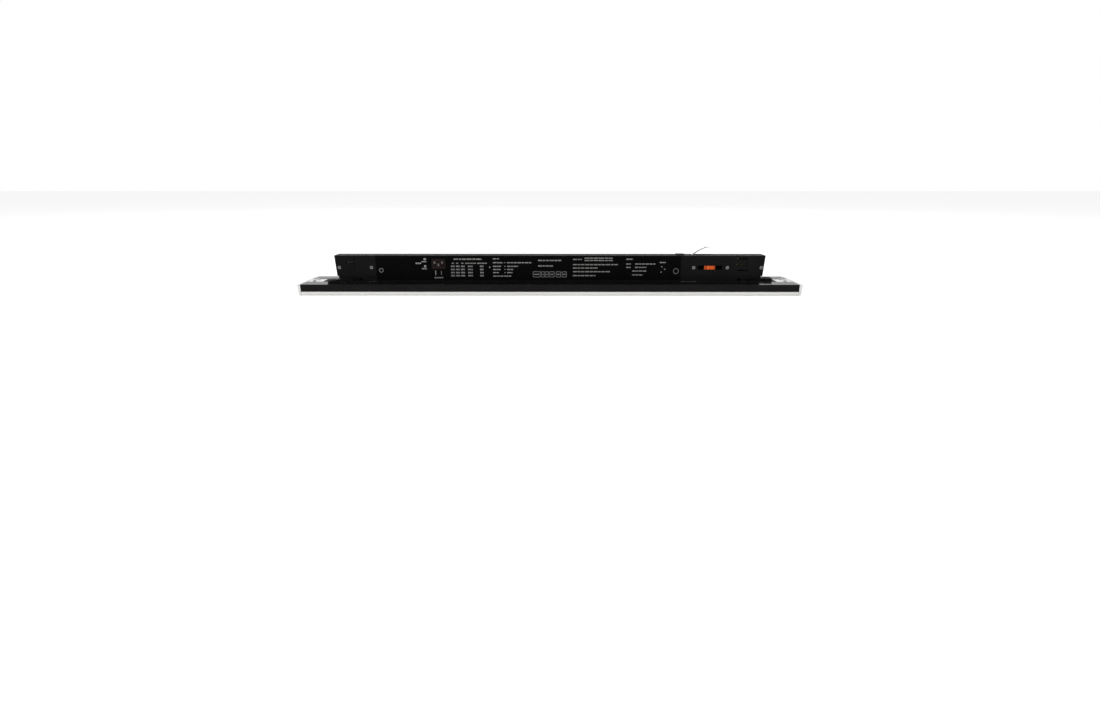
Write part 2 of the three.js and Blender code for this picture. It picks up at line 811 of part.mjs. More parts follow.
/** Half of a head's housing, on one side of the middle plane. */
function headShell(side, [x0, x1], outerEnd, pivotX, rivets, openings) {
  const leftDraft = outerEnd < 0 ? headDraft : 0;
  const rightDraft = outerEnd > 0 ? headDraft : 0;
  const profile = outline([
    [x0, adapterHeight],
    [x0 + leftDraft, headLift],
    [x1 - rightDraft, headLift],
    [x1, adapterHeight],
  ]);
  const y = span(side, 0, adapterSide);
  const neckY = span(side, 0, neckSide);
  const footEnd = pivotX - outerEnd * (leverHubRadius + sweepGap);
  const footX = outerEnd < 0 ? [footEnd, x1] : [x0, footEnd];
  const neck = block([x0 + 2 * leftDraft, x1 - 2 * rightDraft], neckY, [neckBottom, headFloorTop]);
  const foot = cut(
    block(footX, neckY, [driverBottom, headFloorTop]),
    block([footX[0] + headWall, footX[1] - headWall], span(side, -1, neckSide - headWall), [driverBottom - 1, neckBottom]),
  );
  const hollow = block(
    [x0 + headWall + leftDraft, x1 - headWall - rightDraft],
    span(side, -1, headInnerSide),
    [headFloorTop, headRoof],
  );
  const bosses = rivets.map((x) =>
    rod("y", rivetBossRadius, [x, rivetHeight], span(side, 0, headInnerSide + 1), 16),
  );
  const holes = rivets.flatMap((x) => [
    rivetHole(x),
    rod(
      "y",
      rivetHeadRadius + screwGap,
      [x, rivetHeight],
      span(side, adapterSide - rivetHeadThickness, adapterSide + 1),
      16,
    ),
  ]);
  const shaftHole = rod("z", shaftRadius + slidingGap, [pivotX, 0], [0, headFloorTop + 1], 20);
  return cut(join(cut(join(prism("y", profile, y), neck, foot), hollow), ...bosses), ...holes, shaftHole, ...openings);
}

/** A slit in one side wall, through which an arm at a given height swings out. */
function swingSlit(side, pivotX, direction, entry, armWidth, height, z) {
  const near = armWidth * half + sweepGap;
  const x = direction < 0 ? [pivotX - entry, pivotX + near] : [pivotX - near, pivotX + entry];
  return block(x, span(side, headInnerSide - 1, adapterSide + 1), [z - height * half, z + height * half]);
}

/** The notch that clears the driver tray's riveting tab in a head's inner end wall. */
function tabNotch(wallX, reachX) {
  const x = wallX < reachX ? [wallX - 1, reachX] : [reachX, wallX + 1];
  const reachY = tabHalfThickness + slidingGap;
  const reachZ = tabHalfHeight + slidingGap;
  return block(x, [-reachY, reachY], [rivetHeight - reachZ, rivetHeight + reachZ]);
}

// Latch head, at the left.

const latchSpan = [-adapterEnd, driverLeft - endPlay];
const lugEntry = swingEntry(lugReach, lugWidth);
const latchNotch = tabNotch(driverLeft, driverLeft - tabReach - slidingGap);

function latchShell(side) {
  const openings = [swingSlit(side, latchPivotX, side, lugEntry, lugWidth, lugSlitHeight, lugHeight), latchNotch];
  if (side < 0) {
    const x = latchWindow.offset.map((offset) => latchPivotX + offset);
    openings.push(block(x, [-adapterSide - 1, -adapterSide + windowRecess], latchWindow.height));
  }
  return headShell(side, latchSpan, -1, latchPivotX, [leftEndRivetX, leftTabRivetX], openings);
}

piece(adapter, "latch_head_front", latchShell(-1), "blackHead");
piece(adapter, "latch_head_rear", latchShell(1), "blackHead");

// Contact head, at the right, with the circuit selector and the earth spring.

const contactSpan = [driverRight + endPlay, adapterEnd];
const prongEntry = swingEntry(prongReach, prongWidth);
const contactNotch = tabNotch(driverRight, rightTabRivetX + tabReach * half + slidingGap);
const neutralHeight = collarBottom + collarThickness * half;
const contactRivets = [rightTabRivetX, rightMiddleRivetX, rightEndRivetX];

function selectorOpening() {
  const reach = selectorSlotLength * half;
  const shape = roundedOutline(
    [selectorX - reach, selectorX + reach],
    [rivetHeight - selectorSlotHeight * half, rivetHeight + selectorSlotHeight * half],
    1,
  );
  return prism("y", shape, [-adapterSide - 1, -headInnerSide + 1]);
}

/** Two ribs inside the front wall that guide the circuit selector. */
function selectorGuides() {
  const from = rightTabRivetX + rivetBossRadius * half;
  const to = rightMiddleRivetX - rivetBossRadius * half;
  const inner = selectorPlateHeight * half + slidingGap;
  return both.map((up) =>
    block(
      [from, to],
      [-headInnerSide - 1, -headInnerSide + guideReach],
      up < 0
        ? [rivetHeight - inner - guideThickness, rivetHeight - inner]
        : [rivetHeight + inner, rivetHeight + inner + guideThickness],
    ),
  );
}

function contactShell(side) {
  const springSlot = block(
    [springRootX - 2.5, springRootX + earthSpringReach + 6.5],
    [-earthSpringWidth * half - springSlotGap, earthSpringWidth * half + springSlotGap],
    [headRoof - 1, adapterHeight + 1],
  );
  const inletNotch = block(
    [driverRight - 1, driverRight + 2 * headWall],
    [side * inletHoleY - inletHoleSize * half, side * inletHoleY + inletHoleSize * half],
    [inletHoleHeight - inletHoleSize * half, inletHoleHeight + inletHoleSize * half],
  );
  const openings = [springSlot, contactNotch, inletNotch];
  if (side > 0) {
    openings.push(swingSlit(side, contactPivotX, side, prongEntry, prongWidth, slitHeight, neutralHeight));
    return headShell(side, contactSpan, 1, contactPivotX, contactRivets, openings);
  }
  for (const level of circuitLevels) {
    openings.push(swingSlit(side, contactPivotX, side, prongEntry, prongWidth, slitHeight, level));
  }
  const x = contactWindow.offset.map((offset) => contactPivotX + offset);
  openings.push(block(x, [-adapterSide - 1, -adapterSide + windowRecess], contactWindow.height));
  openings.push(selectorOpening());
  const shell = headShell(side, contactSpan, 1, contactPivotX, contactRivets, openings);
  return join(shell, ...selectorGuides());
}

piece(adapter, "contact_head_front", contactShell(-1), "blackHead");
piece(adapter, "contact_head_rear", contactShell(1), "blackHead");

// Rivets through both halves of each head.

function rivet(x) {
  const headFrom = adapterSide - rivetHeadThickness + screwGap * half;
  const headTo = adapterSide + screwGap * half;
  return join(
    rod("y", rivetRadius, [x, rivetHeight], [-headTo, headTo], 12),
    rod("y", rivetHeadRadius, [x, rivetHeight], [headFrom, headTo], 16),
    rod("y", rivetHeadRadius, [x, rivetHeight], [-headTo, -headFrom], 16),
  );
}

for (const [index, x] of [leftEndRivetX, leftTabRivetX, ...contactRivets].entries()) {
  piece(adapter, `head_rivet_${index + 1}`, rivet(x), "steel");
}

// --------------------------------------------------------------------------------- levers

/** A lever with its upright shaft and square collar, about the origin, arm along +X. */
function lever() {
  const z = [leverLift, leverLift + leverThickness];
  const armHalf = leverArmWidth * half;
  const padHalf = leverPadWidth * half;
  const pad = roundedOutline([leverReach - leverPadLength, leverReach], [-padHalf, padHalf], 2);
  const collarHalf = collarSize * half;
  return join(
    rod("z", leverHubRadius, [0, 0], z, 24),
    block([0, leverReach - leverPadLength * half], [-armHalf, armHalf], z),
    prism("z", pad, z),
    rod("z", shaftRadius, [0, 0], [leverLift + leverThickness * half, shaftTop], 20),
    block([-collarHalf, collarHalf], [-collarHalf, collarHalf], [collarBottom, collarBottom + collarThickness]),
  );
}

const latchTurn = new THREE.Group();
latchTurn.position.x = latchPivotX;
latchTurn.rotation.z = Math.PI + THREE.MathUtils.degToRad(latchLeverRestAngle);
adapter.add(latchTurn);
piece(latchTurn, "latch_lever", lever(), "blackHead");

/** The steel latch bar on the latch shaft. */
function latchLug() {
  const bar = roundedOutline([-lugReach, lugReach], [-lugWidth * half, lugWidth * half], 1);
  const z = [lugHeight - lugThickness * half, lugHeight + lugThickness * half];
  const boss = rod("z", shaftRadius + 2.2, [0, 0], z, 20);
  return cut(join(prism("z", bar, z), boss), rod("z", shaftRadius + slidingGap, [0, 0], [z[0] - 1, z[1] + 1], 20));
}

piece(latchTurn, "latch_lug", latchLug(), "steel");

const contactTurn = new THREE.Group();
contactTurn.position.x = contactPivotX;
adapter.add(contactTurn);
piece(contactTurn, "contact_lever", lever(), "blackHead");

/** A flat contact tongue beside the contact shaft, from a block's face outwards. */
function prong(direction, z) {
  const tongue = roundedOutline(
    span(direction, collarSize * half, prongReach),
    [-prongWidth * half, prongWidth * half],
    0.6,
  );
  return prism("z", tongue, [z - prongThickness * half, z + prongThickness * half], 3);
}

piece(contactTurn, "neutral_contact", prong(1, neutralHeight), "brass");
const carriageHalf = collarSize * half;
const carriageZ = [circuitHeight - carriageHeight * half, circuitHeight + carriageHeight * half];
piece(
  contactTurn,
  "phase_carriage",
  cut(
    block([-carriageHalf, carriageHalf], [-carriageHalf, carriageHalf], carriageZ),
    rod("z", shaftRadius + slidingGap, [0, 0], [carriageZ[0] - 1, carriageZ[1] + 1], 20),
  ),
  "whiteSwitch",
);
piece(contactTurn, "phase_contact", prong(-1, circuitHeight), "brass");

// Brushes beside the contact shaft, and the leads from them to the driver.

const brushThickness = 0.6;
const brushGap = 6.3;
const brushLength = 8;
const liveBrushX = [contactPivotX - 3.5 - brushLength, contactPivotX - 3.5];
const neutralBrushX = [contactPivotX - brushLength * half, contactPivotX + brushLength * half];
piece(
  adapter,
  "live_brush",
  block(liveBrushX, [brushGap, brushGap + brushThickness], [headFloorTop, headRoof - 1]),
  "brass",
);
piece(
  adapter,
  "neutral_brush",
  block(
    neutralBrushX,
    [-brushGap - brushThickness, -brushGap],
    [headFloorTop, collarBottom + collarThickness + slidingGap],
  ),
  "brass",
);

const inputEndX = driverRight - 7;
for (const [name, side, startX, startZ, finish] of [
  ["live", 1, liveBrushX[0], inletHoleHeight, "brownWire"],
  ["neutral", -1, neutralBrushX[0], headFloorTop + leadRadius + slidingGap, "blueWire"],
]) {
  const points = [
    [startX - slidingGap, side * (brushGap + brushThickness * half), startZ],
    [startX - 6, side * (brushGap - 1.5), startZ],
    [driverRight + 25, side * inletHoleY, inletHoleHeight],
    [driverRight + 4, side * inletHoleY, inletHoleHeight],
    [driverRight - 4, side * inletHoleY, inletHoleHeight - half],
    [inputEndX, side * inletHoleY, boardTop + leadRadius + slidingGap],
  ];
  piece(adapter, `input_lead_${name}`, wire(points, leadRadius, 18), finish);
}

// --------------------------------------------------------------- circuit selector and spring

function phaseSlider() {
  const plateY = [-headInnerSide + slidingGap, -headInnerSide + slidingGap + selectorPlateThickness];
  const plateHalf = selectorPlateLength * half;
  const plateZ = selectorPlateHeight * half;
  const knobHalf = selectorKnobLength * half;
  const knobZ = selectorSlotHeight * half - slidingGap;
  const knobFront = -adapterSide - 0.6;
  const grip = block([selectorX - 0.8, selectorX + 0.8], [knobFront - 1, knobFront + 0.8], [0, rivetHeight - 0.6]);
  return cut(
    join(
      block([selectorX - plateHalf, selectorX + plateHalf], plateY, [rivetHeight - plateZ, rivetHeight + plateZ]),
      block(
        [selectorX - knobHalf, selectorX + knobHalf],
        [knobFront, plateY[0] + half],
        [rivetHeight - knobZ, rivetHeight + knobZ],
      ),
    ),
    grip,
  );
}

piece(adapter, "phase_slider", phaseSlider(), "orange");

/** The earth spring: a strip that rises from the roof slot and turns over at its tip. */
function earthSpring() {
  const rootZ = adapterHeight - headWall * half;
  const tipX = springRootX + earthSpringReach;
  const tipZ = rootZ + earthSpringRise;
  const run = Math.hypot(earthSpringReach, earthSpringRise);
  const normal = [(-earthSpringRise / run) * earthSpringThickness, (earthSpringReach / run) * earthSpringThickness];
  const bend = [springRootX + 0.45 * earthSpringReach, rootZ + 0.56 * earthSpringRise];
  const strip = outline([
    [springRootX - 1.5, rootZ],
    [springRootX, rootZ],
    bend,
    [tipX, tipZ],
    [tipX + 3.5, tipZ - 1.8],
    [tipX + 3.5, tipZ - 1.8 + earthSpringThickness],
    [tipX, tipZ + earthSpringThickness],
    [bend[0] + normal[0], bend[1] + normal[1]],
    [springRootX + normal[0], rootZ + normal[1]],
    [springRootX - 1.5, rootZ + earthSpringThickness],
  ]);
  return prism("y", strip, [-earthSpringWidth * half, earthSpringWidth * half]);
}

piece(adapter, "earth_spring", earthSpring(), "steel");

export default luminaire;
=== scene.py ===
"""Looks of the linear LED track luminaire: materials, label print, small moulded and stamped
detail, light and camera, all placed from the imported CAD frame. Metres throughout."""

import json
import math

import bmesh
import bpy
from mathutils import Matrix, Vector


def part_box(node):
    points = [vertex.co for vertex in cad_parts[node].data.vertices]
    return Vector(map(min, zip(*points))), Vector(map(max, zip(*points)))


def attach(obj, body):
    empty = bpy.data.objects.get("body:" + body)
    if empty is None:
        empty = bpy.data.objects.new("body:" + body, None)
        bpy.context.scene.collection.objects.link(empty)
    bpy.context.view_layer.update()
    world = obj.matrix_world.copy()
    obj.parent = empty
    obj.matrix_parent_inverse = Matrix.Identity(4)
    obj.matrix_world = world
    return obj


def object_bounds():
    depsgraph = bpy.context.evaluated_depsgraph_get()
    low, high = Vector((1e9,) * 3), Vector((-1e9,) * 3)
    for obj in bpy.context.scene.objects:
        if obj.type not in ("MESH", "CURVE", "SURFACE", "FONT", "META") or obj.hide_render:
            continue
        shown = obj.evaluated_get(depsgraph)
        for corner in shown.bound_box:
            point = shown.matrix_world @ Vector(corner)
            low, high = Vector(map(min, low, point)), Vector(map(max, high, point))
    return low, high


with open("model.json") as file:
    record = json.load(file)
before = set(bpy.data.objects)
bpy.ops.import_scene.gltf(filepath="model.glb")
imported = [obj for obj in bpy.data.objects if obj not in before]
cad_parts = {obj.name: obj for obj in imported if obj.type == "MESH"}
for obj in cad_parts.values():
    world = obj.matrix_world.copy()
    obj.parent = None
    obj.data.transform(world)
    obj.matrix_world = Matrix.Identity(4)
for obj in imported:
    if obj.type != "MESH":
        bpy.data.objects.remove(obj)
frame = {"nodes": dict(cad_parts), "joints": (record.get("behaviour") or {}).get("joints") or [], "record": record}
cad_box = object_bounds()
nodes = frame["nodes"]
record = frame["record"]
MM = 0.001

# ------------------------------------------------------------------ material building blocks


def new_material(name):
    """An empty node material and its Principled shader."""
    material = bpy.data.materials.new(name)
    material.use_nodes = True
    return material, material.node_tree.nodes["Principled BSDF"]


def link(material, out_socket, in_socket):
    material.node_tree.links.new(out_socket, in_socket)


def add_node(material, kind, **inputs):
    """A node with some of its inputs set by name."""
    node = material.node_tree.nodes.new(kind)
    for key, value in inputs.items():
        node.inputs[key].default_value = value
    return node


def object_point(material, stretch=(1, 1, 1)):
    """Object coordinates, scaled along each axis."""
    place = add_node(material, "ShaderNodeTexCoord")
    mapping = add_node(material, "ShaderNodeMapping", Scale=stretch)
    link(material, place.outputs["Object"], mapping.inputs["Vector"])
    return mapping.outputs["Vector"]


def noise(material, scale, detail=4.0, rough=0.55, stretch=(1, 1, 1)):
    texture = add_node(material, "ShaderNodeTexNoise", Scale=scale, Detail=detail, Roughness=rough)
    link(material, object_point(material, stretch), texture.inputs["Vector"])
    return texture.outputs["Fac"]


def remap(material, source, low, high, from_low=0.3, from_high=0.7):
    """Spreads a 0..1 pattern over a range of values."""
    node = add_node(material, "ShaderNodeMapRange")
    node.inputs["From Min"].default_value = from_low
    node.inputs["From Max"].default_value = from_high
    node.inputs["To Min"].default_value = low
    node.inputs["To Max"].default_value = high
    link(material, source, node.inputs["Value"])
    return node.outputs["Result"]


def colour_sockets(mix):
    """Factor, two tones and result of a colour mix node."""
    mix.data_type = "RGBA"
    live = [socket for socket in mix.inputs if socket.enabled]
    return live[0], live[1], live[2], [socket for socket in mix.outputs if socket.enabled][0]


def two_tone(material, shader, source, dark, light):
    """Base colour that wanders between two close tones."""
    mix = material.node_tree.nodes.new("ShaderNodeMix")
    factor, tone_a, tone_b, result = colour_sockets(mix)
    tone_a.default_value = (*dark, 1)
    tone_b.default_value = (*light, 1)
    link(material, source, factor)
    link(material, result, shader.inputs["Base Color"])
    return result


def bump(material, shader, source, strength, distance):
    node = add_node(material, "ShaderNodeBump", Strength=strength, Distance=distance)
    link(material, source, node.inputs["Height"])
    link(material, node.outputs["Normal"], shader.inputs["Normal"])


def paint_edge_highlights(material, shader, mix, highlight_colour, amount=0.35, radius=0.0004):
    """Painted highlight: lightens convex edges a little, standing in for the light that edges catch."""
    bevel = material.node_tree.nodes.new("ShaderNodeBevel")
    bevel.samples = 4
    bevel.inputs["Radius"].default_value = radius
    geometry = material.node_tree.nodes.new("ShaderNodeNewGeometry")
    dot = material.node_tree.nodes.new("ShaderNodeVectorMath")
    dot.operation = "DOT_PRODUCT"
    link(material, bevel.outputs["Normal"], dot.inputs[0])
    link(material, geometry.outputs["Normal"], dot.inputs[1])
    highlight_mask = remap(material, dot.outputs["Value"], amount, 0.0, 0.86, 0.995)
    over = material.node_tree.nodes.new("ShaderNodeMix")
    factor, tone_a, tone_b, result = colour_sockets(over)
    tone_b.default_value = (*highlight_colour, 1)
    link(material, highlight_mask, factor)
    link(material, mix, tone_a)
    link(material, result, shader.inputs["Base Color"])


def moulded(
    name, dark, light, rough=(0.42, 0.58), grain=2600.0, depth=0.00002, highlight_tone=None, gloss=0.5
):
    """Moulded plastic: fine spark-eroded grain, slow tone drift, uneven gloss."""
    material, shader = new_material(name)
    shader.inputs["Specular IOR Level"].default_value = gloss
    drift = noise(material, 35.0)
    mix = two_tone(material, shader, remap(material, drift, 0, 1), dark, light)
    link(material, remap(material, noise(material, 160.0), *rough), shader.inputs["Roughness"])
    bump(material, shader, noise(material, grain, 2.0), 0.35, depth)
    # optional painted highlight along convex edges
    if highlight_tone:
        paint_edge_highlights(material, shader, mix, highlight_tone)
    return material


def coated(
    name, dark, light, rough=(0.3, 0.42), peel=900.0, highlight_tone=None, metallic=0.0, gloss=0.5
):
    """Powder-coated or anodised metal: orange-peel bump and a soft sheen."""
    material, shader = new_material(name)
    shader.inputs["Specular IOR Level"].default_value = gloss
    shader.inputs["Metallic"].default_value = metallic
    mix = two_tone(material, shader, remap(material, noise(material, 60.0), 0, 1), dark, light)
    link(material, remap(material, noise(material, 240.0), *rough), shader.inputs["Roughness"])
    bump(material, shader, noise(material, peel, 3.0), 0.3, 0.00002)
    # optional painted highlight along convex edges
    if highlight_tone:
        paint_edge_highlights(material, shader, mix, highlight_tone)
    return material


def drawn_metal(name, dark, light, rough=(0.24, 0.42), stretch=(1, 60, 60), grain=40.0):
    """Bare metal with fine lines along its drawing direction."""
    material, shader = new_material(name)
    shader.inputs["Metallic"].default_value = 1.0
    lines = noise(material, grain, 6.0, 0.65, stretch)
    two_tone(material, shader, remap(material, lines, 0, 1), dark, light)
    link(material, remap(material, lines, *rough), shader.inputs["Roughness"])
    bump(material, shader, lines, 0.15, 0.00002)
    return material


def sleeve(name, dark, light):
    """Soft wire insulation."""
    return moulded(name, dark, light, rough=(0.38, 0.5), grain=1500.0, depth=0.00001)


def opal(name, tone, rough, grain):
    """Opal plastic that lets some light into its body."""
    material, shader = new_material(name)
    dark = tuple(0.975 * value for value in tone)
    two_tone(material, shader, remap(material, noise(material, 18.0), 0, 1), dark, tone)
    link(material, remap(material, noise(material, 120.0), *rough), shader.inputs["Roughness"])
    shader.inputs["Subsurface Weight"].default_value = 0.25
    shader.inputs["Subsurface Radius"].default_value = (0.0025, 0.0023, 0.002)
    shader.inputs["IOR"].default_value = 1.49
    bump(material, shader, noise(material, grain, 2.0), 0.2, 0.00001)
    return material


# --------------------------------------------------------------------------------- materials

print_white = moulded(
    "print_white", (0.2, 0.2, 0.195), (0.33, 0.33, 0.32), rough=(0.5, 0.65), gloss=0.1
)

finishes = {
    "opal": opal("opal", (0.93, 0.915, 0.89), (0.3, 0.42), 900.0),
    "cap_white": moulded("cap_white", (0.82, 0.82, 0.81), (0.88, 0.88, 0.87), rough=(0.38, 0.5)),
    "frame_black": coated(
        "frame_black",
        (0.0035, 0.0035, 0.0037),
        (0.0065, 0.0065, 0.0067),
        rough=(0.1, 0.17),
        # painted highlight: a lighter tone along convex edges
        highlight_tone=(0.03, 0.03, 0.03),
        gloss=0.08,
    ),
    "plate_light": coated(
        "plate_light", (0.72, 0.72, 0.71), (0.82, 0.82, 0.81), rough=(0.3, 0.45), metallic=0.35
    ),
    "board_white": coated("board_white", (0.74, 0.74, 0.7), (0.82, 0.82, 0.78)),
    "fastener_steel": drawn_metal("fastener_steel", (0.42, 0.42, 0.43), (0.62, 0.62, 0.63)),
    "driver_black": moulded(
        "driver_black", (0.002, 0.002, 0.0022), (0.0035, 0.0035, 0.0037), gloss=0.05
    ),
    "label_black": coated(
        "label_black",
        (0.0012, 0.0012, 0.0013),
        (0.0022, 0.0022, 0.0024),
        rough=(0.3, 0.4),
        peel=300.0,
        gloss=0.02,
    ),
    "board_green": coated("board_green", (0.015, 0.09, 0.04), (0.03, 0.16, 0.07)),
    "coil_yellow": moulded("coil_yellow", (0.45, 0.27, 0.04), (0.62, 0.4, 0.08)),
    "choke_grey": moulded("choke_grey", (0.03, 0.03, 0.035), (0.06, 0.06, 0.065)),
    "capacitor_blue": coated("capacitor_blue", (0.015, 0.02, 0.06), (0.03, 0.04, 0.1)),
    # Painted shade: the switch red and switch white are both darkened, as the DIP switch sits in shadow.
    "switch_red": moulded(
        "switch_red", (0.012, 0.005, 0.005), (0.02, 0.009, 0.009), gloss=0.1
    ),
    "switch_white": moulded(
        "switch_white", (0.1, 0.1, 0.095), (0.17, 0.17, 0.16), gloss=0.2
    ),
    "terminal_green": moulded("terminal_green", (0.03, 0.13, 0.05), (0.06, 0.2, 0.09)),
    "grommet_rubber": moulded(
        "grommet_rubber", (0.005, 0.005, 0.005), (0.009, 0.009, 0.009), (0.7, 0.85), gloss=0.1
    ),
    "wire_red": sleeve("wire_red", (0.36, 0.015, 0.01), (0.5, 0.03, 0.02)),
    "wire_black": sleeve("wire_black", (0.01, 0.01, 0.01), (0.02, 0.02, 0.02)),
    "wire_brown": sleeve("wire_brown", (0.11, 0.035, 0.012), (0.18, 0.06, 0.02)),
    "wire_blue": sleeve("wire_blue", (0.02, 0.06, 0.28), (0.04, 0.1, 0.4)),
    "head_black": moulded(
        "head_black",
        (0.003, 0.003, 0.0032),
        (0.005, 0.005, 0.0052),
        # painted highlight: a lighter tone along convex edges
        highlight_tone=(0.02, 0.02, 0.02),
        gloss=0.07,
    ),
    "lever_black": moulded(
        "lever_black",
        (0.003, 0.003, 0.0032),
        (0.0055, 0.0055, 0.0057),
        # painted highlight: a lighter tone along convex edges
        highlight_tone=(0.02, 0.02, 0.02),
        gloss=0.08,
    ),
    "rivet_steel": drawn_metal("rivet_steel", (0.13, 0.13, 0.13), (0.2, 0.2, 0.195), (0.3, 0.45)),
    "contact_brass": drawn_metal("contact_brass", (0.55, 0.36, 0.12), (0.72, 0.5, 0.2)),
    "slider_orange": moulded(
        "slider_orange", (0.72, 0.1, 0.012), (0.82, 0.135, 0.02), rough=(0.32, 0.45), gloss=0.2
    ),
    "spring_steel": drawn_metal("spring_steel", (0.13, 0.13, 0.125), (0.2, 0.2, 0.195)),
}

# Edge breaks of the pieces whose edges show, in millimetres.
BEVELS = {
    "diffuser": 0.3,
    "end_cap_left": 0.4,
    "end_cap_right": 0.4,
    "front_rail": 0.35,
    "rear_rail": 0.35,
    "base_plate": 0.25,
    "driver_cover": 0.7,
    "driver_base": 0.4,
    "latch_head_front": 0.35,
    "latch_head_rear": 0.35,
    "contact_head_front": 0.35,
    "contact_head_rear": 0.35,
    "latch_lever": 0.6,
    "contact_lever": 0.6,
    "earth_spring": 0.08,
    "seam_clip": 0.35,
}


def soften(node, width_mm):
    """Breaks the sharp edges of a CAD node with a small bevel."""
    bevel = node.modifiers.new("edge_break", "BEVEL")
    bevel.width = width_mm * MM
    bevel.segments = 2
    bevel.limit_method = "ANGLE"
    bevel.angle_limit = math.radians(40)
    bevel.use_clamp_overlap = True
    bevel.harden_normals = False


for entry in record["subparts"]:
    node = nodes[entry["node"]]
    node.data.materials.clear()
    node.data.materials.append(finishes[entry["material_slot"]])
    if entry["node"] in BEVELS:
        soften(node, BEVELS[entry["node"]])

# ---------------------------------------------------------------------------- piece building


def mesh_piece(name, bm, body, material):
    """Makes an object from a bmesh, gives it a finish and lets it ride on a body."""
    bmesh.ops.recalc_face_normals(bm, faces=bm.faces)
    mesh = bpy.data.meshes.new(name)
    bm.to_mesh(mesh)
    bm.free()
    mesh.materials.append(material)
    piece = bpy.data.objects.new(name, mesh)
    bpy.context.scene.collection.objects.link(piece)
    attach(piece, body)
    return piece


def add_bar(bm, x, y, z):
    """A closed block in a bmesh, between two corners."""
    (x0, x1), (y0, y1), (z0, z1) = x, y, z
    size = Vector((x1 - x0, y1 - y0, z1 - z0))
    centre = Vector((x0 + x1, y0 + y1, z0 + z1)) / 2
    matrix = Matrix.Translation(centre) @ Matrix.Diagonal((*size, 1))
    bmesh.ops.create_cube(bm, size=1, matrix=matrix)


def add_disc(bm, x, z, radius, y0, y1, sides=20):
    """A closed short drum facing -Y."""
    turn = Matrix.Rotation(math.pi / 2, 4, "X")
    matrix = Matrix.Translation((x, (y0 + y1) / 2, z)) @ turn
    bmesh.ops.create_cone(
        bm,
        cap_ends=True,
        segments=sides,
        radius1=radius,
        radius2=radius,
        depth=abs(y1 - y0),
        matrix=matrix,
    )


# ------------------------------------------------------------------------------- label print
# Plain bars, rules and dots stand where the real label has its text. Positions count from the
# label's left edge and its lower edge, in millimetres.

label_low, label_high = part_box("driver_label")
INK = 0.06 * MM
label_face = label_low.y


class Print:
    """Collects printed marks on the label, all as thin raised ink."""

    def __init__(self):
        self.bm = bmesh.new()

    def bar(self, x0, x1, z, height=1.0):
        """A straight bar, with its middle at height z."""
        left, right = label_low.x + x0 * MM, label_low.x + x1 * MM
        middle = label_low.z + z * MM
        reach = height * MM / 2
        self.block(left, right, middle - reach, middle + reach)

    def block(self, left, right, low, high):
        """A rectangle of ink, in metres."""
        add_bar(self.bm, (left, right), (label_face - INK, label_face + INK / 2), (low, high))

    def dot(self, x, z, radius):
        """A round mark."""
        middle_x, middle_z = label_low.x + x * MM, label_low.z + z * MM
        add_disc(self.bm, middle_x, middle_z, radius * MM, label_face - INK, label_face + INK / 2)

    def words(self, x0, x1, z, height=1.1, word=3.2, gap=0.8):
        """A line of writing suggested by short bars of uneven length."""
        x, step = x0, 0
        while x < x1:
            length = word * (0.7 + 0.6 * ((step * 7 + 3) % 5) / 4)
            self.bar(x, min(x + length, x1), z, height)
            x += length + gap
            step += 1

    def frame(self, x0, x1, z0, z1, line=0.3):
        """A plain outlined box."""
        for z in (z0, z1):
            self.bar(x0, x1, z, line)
        for x in (x0, x1):
            self.bar(x - line / 2, x + line / 2, (z0 + z1) / 2, z1 - z0)


ink = Print()

# Switch key, left of the table: two dots with short bars beside them, and two upright bars.
for v in (24.7, 16.1):
    ink.dot(59.2, v, 1.5)
    ink.words(55.2, 61.3, v - 3.0, 1.2, 2.6, 0.5)
ink.words(47.9, 54.6, 19.8, 1.7, 2.0, 0.5)
ink.bar(71.0, 72.2, 8.2, 5.6)
ink.bar(78.2, 78.9, 8.2, 4.6)
ink.words(69.8, 80.4, 2.3, 1.3, 2.4, 0.4)

# Settings table: a heading, a header row and four rows of five short values.
ink.words(94.0, 128.0, 24.7, 1.7, 4.6, 0.9)
for u0, u1 in ((91.6, 94.2), (96.8, 99.4), (103.0, 105.8), (107.9, 120.5), (122.2, 134.0)):
    ink.words(u0, u1, 19.8, 1.3, 2.8, 0.5)
TABLE_COLUMNS = ((90.4, 95.2), (96.5, 101.3), (102.6, 107.4), (111.0, 116.8), (125.6, 130.2))
TABLE_ROWS = (16.1, 12.3, 8.5, 4.8)
for v in TABLE_ROWS:
    for u0, u1 in TABLE_COLUMNS:
        ink.words(u0, u1, v, 1.7, 2.1, 0.4)
ink.dot(137.3, 15.0, 0.9)

# Ratings: a short heading and five lines, most with a value after a gap.
ink.words(141.4, 149.4, 25.2, 1.2, 3.6)
for v, name_end, value_end in (
    (20.5, 153.2, 188.2),
    (16.1, 151.1, 171.8),
    (12.3, 150.4, 165.7),
    (8.5, 148.7, 164.8),
):
    ink.words(141.4, name_end, v, 1.25, 3.4, 0.6)
    ink.bar(155.0, 156.4, v, 0.9)
    ink.words(158.4, value_end, v, 1.25, 3.6, 0.7)
ink.words(141.4, 163.5, 4.3, 1.25, 3.8, 0.7)
ink.words(196.0, 223.7, 23.2, 1.5, 4.0, 0.8)
ink.words(196.0, 213.9, 16.6, 1.5, 4.0, 0.8)

# A row of plain outlined boxes.
for u0, u1 in (
    (190.0, 198.4),
    (200.0, 203.4),
    (204.6, 208.4),
    (210.0, 215.4),
    (217.8, 223.2),
    (225.2, 230.2),
):
    ink.frame(u0, u1, 3.2, 9.6, 0.5)
    ink.bar(u0 + 1.2, u1 - 1.2, 6.4, 1.2)

